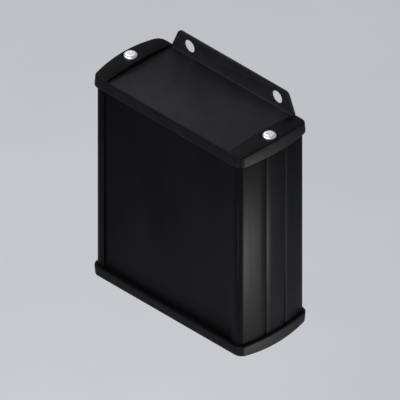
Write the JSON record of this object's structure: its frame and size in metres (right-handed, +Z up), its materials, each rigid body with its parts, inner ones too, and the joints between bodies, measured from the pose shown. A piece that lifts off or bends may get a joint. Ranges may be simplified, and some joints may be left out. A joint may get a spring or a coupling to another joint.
{
  "type": "cellular signal booster",
  "caption": "Wall-mounted signal booster: black extruded aluminium case with bowed sides, arched end caps and flanged end plates, with radio ports and controls underneath.",
  "frame": {"origin": "centre of the four wall holes, on the wall plane", "axes": "+Z up along the extrusion, +Y out of the back towards the wall, front face towards -Y, +X to the right seen from the front"},
  "size_m": [0.0998, 0.0444, 0.1319],
  "materials": {
    "anodised_case": "black anodised, satin, fine lengthwise extrusion lines",
    "cap_plastic": "black moulded, fine even texture",
    "plate_black": "black powder coat, fine texture",
    "foam_rubber": "black closed-cell foam",
    "bright_steel": "bright zinc",
    "nickel_plate": "nickel plated",
    "gold_contact": "gold flash",
    "white_insulator": "white fluoropolymer",
    "black_moulding": "black moulded nylon",
    "light_lens": "green diffused epoxy",
    "board_laminate": "green solder mask",
    "chip_black": "moulded package",
    "tinned_steel": "tin plated",
    "bare_aluminium": "milled",
    "gap_pad": "soft silicone"
  },
  "bodies": {
    "case": {"board_bumpers": "foam_rubber", "body_extrusion": "anodised_case", "bottom_cap_frame": "cap_plastic", "bottom_cap_screws": "bright_steel", "bottom_end_plate": "plate_black", "bottom_gasket": "foam_rubber", "clock_crystal": "tinned_steel", "controller_chip": "chip_black", "donor_duplexers": "tinned_steel", "donor_jack_contact": "gold_contact", "donor_jack_insulator": "white_insulator", "donor_jack_nut": "nickel_plate", "donor_jack_shell": "nickel_plate", "donor_jack_washer": "nickel_plate", "downlink_attenuators": "chip_black", "downlink_band_filters": "chip_black", "downlink_power_amplifiers": "chip_black", "downlink_shield_fence": "tinned_steel", "downlink_shield_lid": "tinned_steel", "gain_pot_body": "nickel_plate", "gain_pot_nut": "nickel_plate", "heat_spreader": "bare_aluminium", "main_board": "board_laminate", "power_inductor": "chip_black", "power_inlet_housing": "black_moulding", "power_inlet_pin": "nickel_plate", "programming_header": "chip_black", "regulator_chip": "chip_black", "server_duplexers": "tinned_steel", "server_jack_contact": "gold_contact", "server_jack_insulator": "white_insulator", "server_jack_nut": "nickel_plate", "server_jack_shell": "nickel_plate", "server_jack_washer": "nickel_plate", "spreader_screws": "bright_steel", "status_light": "light_lens", "status_light_holder": "black_moulding", "storage_capacitors": "bare_aluminium", "surge_suppressor": "chip_black", "switch_housing": "black_moulding", "switch_terminals": "nickel_plate", "thermal_pad": "gap_pad", "top_cap_frame": "cap_plastic", "top_cap_screws": "bright_steel", "top_end_plate": "plate_black", "top_gasket": "foam_rubber", "uplink_attenuators": "chip_black", "uplink_band_filters": "chip_black", "uplink_power_amplifiers": "chip_black", "uplink_shield_fence": "tinned_steel", "uplink_shield_lid": "tinned_steel"},
    "rocker": {"switch_rocker": "black_moulding"},
    "gain_control": {"gain_knob": "black_moulding", "gain_shaft": "nickel_plate"}
  },
  "joints": [
    {"name": "rocker_tilt", "type": "hinge", "parent": "case", "child": "rocker", "pos_m": [0, -0.0187, -0.053], "axis": [0, 1, 0], "range_deg": [0, 24]},
    {"name": "gain_turn", "type": "hinge", "parent": "case", "child": "gain_control", "pos_m": [0.019, -0.0187, -0.06], "axis": [0, 0, 1], "range_deg": [-135, 135]}
  ]
}
